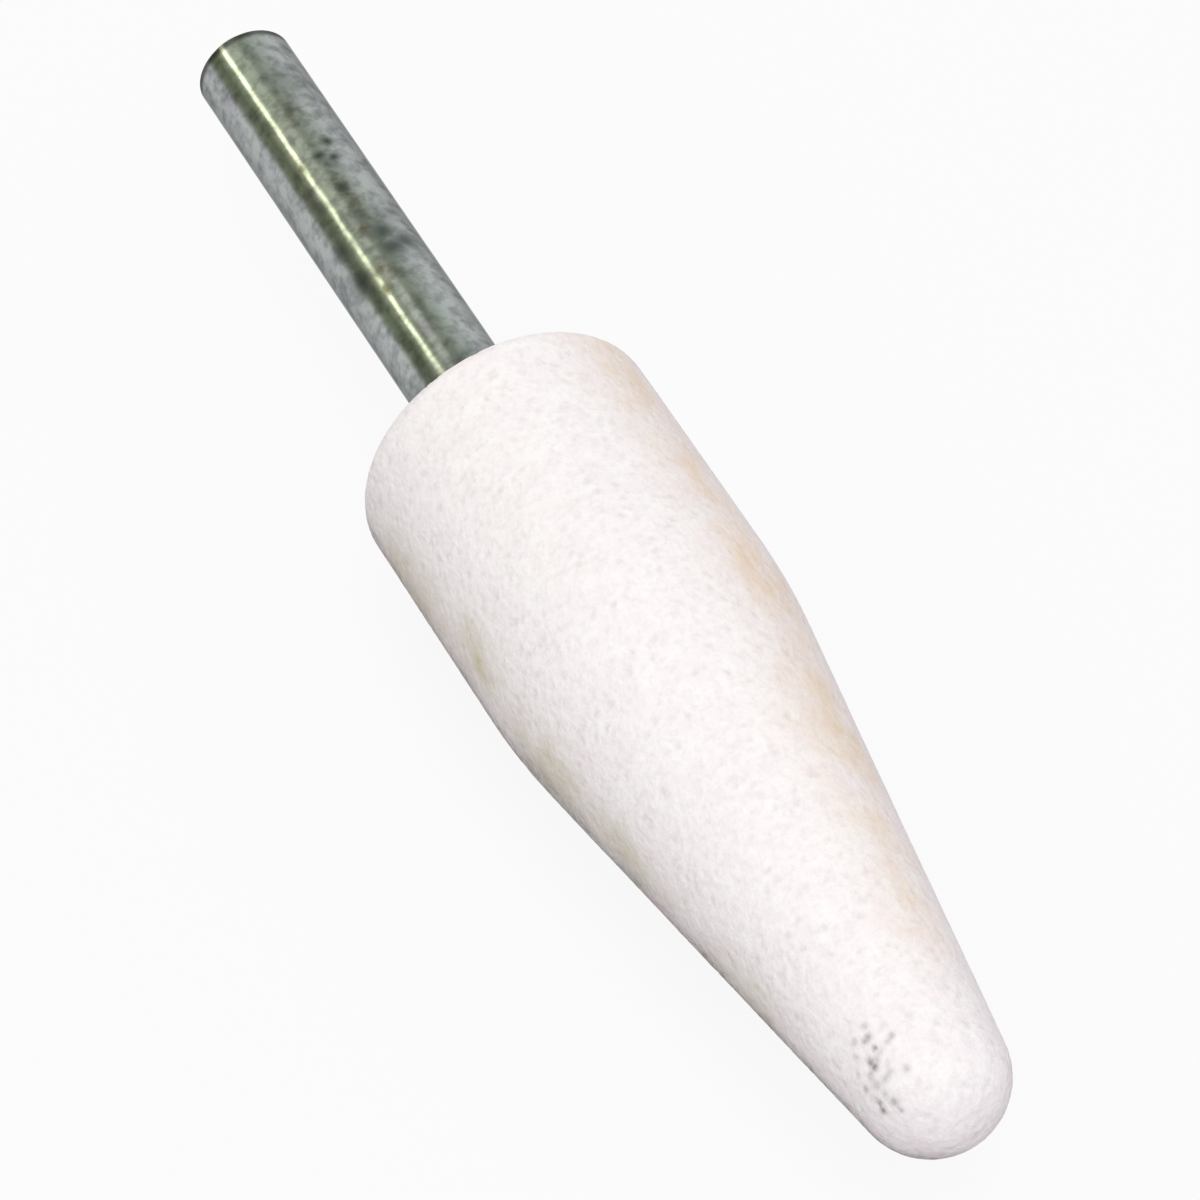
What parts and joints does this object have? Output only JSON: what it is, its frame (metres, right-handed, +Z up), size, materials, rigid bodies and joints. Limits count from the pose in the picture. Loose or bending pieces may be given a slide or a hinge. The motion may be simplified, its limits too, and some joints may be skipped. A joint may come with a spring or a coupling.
{
  "type": "mounted point",
  "caption": "Tapered abrasive grinding point with a round nose, cemented on a plain straight steel shank for a rotary grinder's collet.",
  "frame": {"origin": "on the surface that the point lies on, under the middle of its length", "axes": "+X along the spindle axis from shank to nose, +Z up from the surface"},
  "size_m": [0.0974, 0.019, 0.019],
  "materials": {
    "vitrified_alumina": "gritty, matt, near-white with a faint pink cast",
    "spindle_steel": "drawn bright bar, lightly stained",
    "mounting_cement": "dull set cement"
  },
  "bodies": {
    "root": {"abrasive_head": "vitrified_alumina", "spindle": "spindle_steel", "cement": "mounting_cement"}
  },
  "joints": []
}
